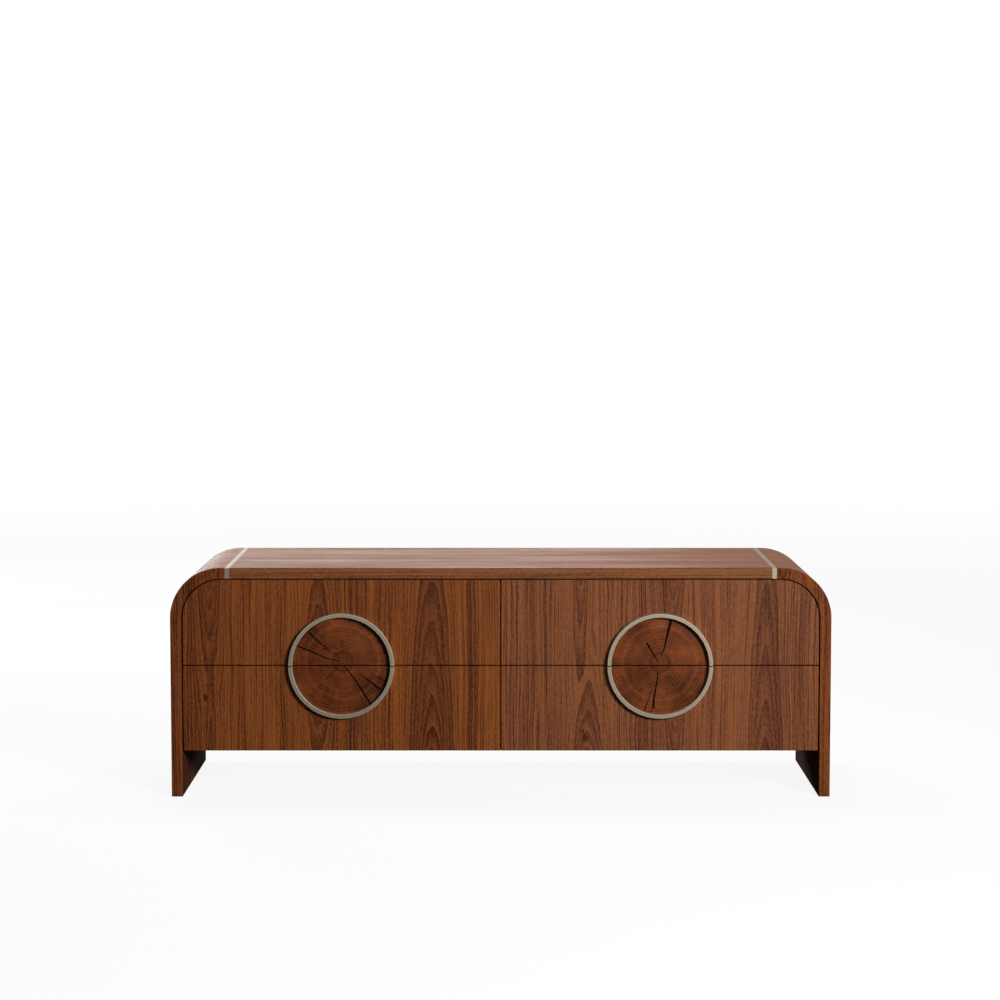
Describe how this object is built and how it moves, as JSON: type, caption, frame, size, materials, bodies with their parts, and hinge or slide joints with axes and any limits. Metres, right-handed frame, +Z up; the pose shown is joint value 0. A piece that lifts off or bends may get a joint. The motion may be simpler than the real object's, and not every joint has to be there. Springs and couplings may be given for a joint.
{
  "type": "low cabinet",
  "caption": "Low media cabinet: a waterfall walnut shell on panel legs with inset drawers, split round ring pulls over end-grain slices and metal strips across the top.",
  "frame": {"origin": "on the floor under the middle of the overall box", "axes": "+X along the width to the right as seen from the front, +Y to the back, +Z up; the drawer fronts face -Y"},
  "size_m": [1.5, 0.465, 0.525],
  "materials": {
    "walnut_shell": "satin lacquered walnut veneer",
    "walnut_front": "satin lacquered walnut veneer, grain upright",
    "end_grain": "oiled end-grain slice with drying cracks",
    "champagne_metal": "satin brushed champagne",
    "inner_board": "satin walnut-veneered board",
    "drawer_wood": "clear matt birch",
    "drawer_ply": "clear matt plywood",
    "beech": "raw",
    "slide_steel": "zinc plated",
    "screw_steel": "zinc plated",
    "glide_plastic": "matt"
  },
  "bodies": {
    "carcass": {"top_panel": "walnut_shell", "left_side_panel": "walnut_shell", "right_side_panel": "walnut_shell", "left_inlay_strip": "champagne_metal", "right_inlay_strip": "champagne_metal", "bottom_panel": "inner_board", "center_partition": "inner_board", "back_panel": "inner_board", "carcass_dowels": "beech", "floor_glides": "glide_plastic", "carcass_screws": "screw_steel", "upper_left_cabinet_rails": "slide_steel", "upper_right_cabinet_rails": "slide_steel", "lower_left_cabinet_rails": "slide_steel", "lower_right_cabinet_rails": "slide_steel"},
    "upper_left_drawer": {"upper_left_drawer_front": "walnut_front", "upper_left_end_grain_half": "end_grain", "upper_left_ring_half": "champagne_metal", "upper_left_box_front": "drawer_wood", "upper_left_box_outer_side": "drawer_wood", "upper_left_box_inner_side": "drawer_wood", "upper_left_box_back": "drawer_wood", "upper_left_box_bottom": "drawer_ply", "upper_left_drawer_rails": "slide_steel", "upper_left_drawer_screws": "screw_steel"},
    "upper_left_middle_slides": {"upper_left_middle_rails": "slide_steel"},
    "upper_right_drawer": {"upper_right_drawer_front": "walnut_front", "upper_right_end_grain_half": "end_grain", "upper_right_ring_half": "champagne_metal", "upper_right_box_front": "drawer_wood", "upper_right_box_outer_side": "drawer_wood", "upper_right_box_inner_side": "drawer_wood", "upper_right_box_back": "drawer_wood", "upper_right_box_bottom": "drawer_ply", "upper_right_drawer_rails": "slide_steel", "upper_right_drawer_screws": "screw_steel"},
    "upper_right_middle_slides": {"upper_right_middle_rails": "slide_steel"},
    "lower_left_drawer": {"lower_left_drawer_front": "walnut_front", "lower_left_end_grain_half": "end_grain", "lower_left_ring_half": "champagne_metal", "lower_left_box_front": "drawer_wood", "lower_left_box_outer_side": "drawer_wood", "lower_left_box_inner_side": "drawer_wood", "lower_left_box_back": "drawer_wood", "lower_left_box_bottom": "drawer_ply", "lower_left_drawer_rails": "slide_steel", "lower_left_drawer_screws": "screw_steel"},
    "lower_left_middle_slides": {"lower_left_middle_rails": "slide_steel"},
    "lower_right_drawer": {"lower_right_drawer_front": "walnut_front", "lower_right_end_grain_half": "end_grain", "lower_right_ring_half": "champagne_metal", "lower_right_box_front": "drawer_wood", "lower_right_box_outer_side": "drawer_wood", "lower_right_box_inner_side": "drawer_wood", "lower_right_box_back": "drawer_wood", "lower_right_box_bottom": "drawer_ply", "lower_right_drawer_rails": "slide_steel", "lower_right_drawer_screws": "screw_steel"},
    "lower_right_middle_slides": {"lower_right_middle_rails": "slide_steel"}
  },
  "joints": [
    {"name": "upper_left_drawer_slide", "type": "slide", "parent": "carcass", "child": "upper_left_drawer", "axis": [0, -1, 0], "range_m": [0, 0.38]},
    {"name": "upper_left_middle_slide", "type": "slide", "parent": "carcass", "child": "upper_left_middle_slides", "axis": [0, -1, 0], "range_m": [0, 0.19]},
    {"name": "upper_right_drawer_slide", "type": "slide", "parent": "carcass", "child": "upper_right_drawer", "axis": [0, -1, 0], "range_m": [0, 0.38]},
    {"name": "upper_right_middle_slide", "type": "slide", "parent": "carcass", "child": "upper_right_middle_slides", "axis": [0, -1, 0], "range_m": [0, 0.19]},
    {"name": "lower_left_drawer_slide", "type": "slide", "parent": "carcass", "child": "lower_left_drawer", "axis": [0, -1, 0], "range_m": [0, 0.38]},
    {"name": "lower_left_middle_slide", "type": "slide", "parent": "carcass", "child": "lower_left_middle_slides", "axis": [0, -1, 0], "range_m": [0, 0.19]},
    {"name": "lower_right_drawer_slide", "type": "slide", "parent": "carcass", "child": "lower_right_drawer", "axis": [0, -1, 0], "range_m": [0, 0.38]},
    {"name": "lower_right_middle_slide", "type": "slide", "parent": "carcass", "child": "lower_right_middle_slides", "axis": [0, -1, 0], "range_m": [0, 0.19]}
  ],
  "couplings": [
    {"joint": "upper_left_middle_slide", "follows": "upper_left_drawer_slide", "ratio": 0.5},
    {"joint": "upper_right_middle_slide", "follows": "upper_right_drawer_slide", "ratio": 0.5},
    {"joint": "lower_left_middle_slide", "follows": "lower_left_drawer_slide", "ratio": 0.5},
    {"joint": "lower_right_middle_slide", "follows": "lower_right_drawer_slide", "ratio": 0.5}
  ]
}
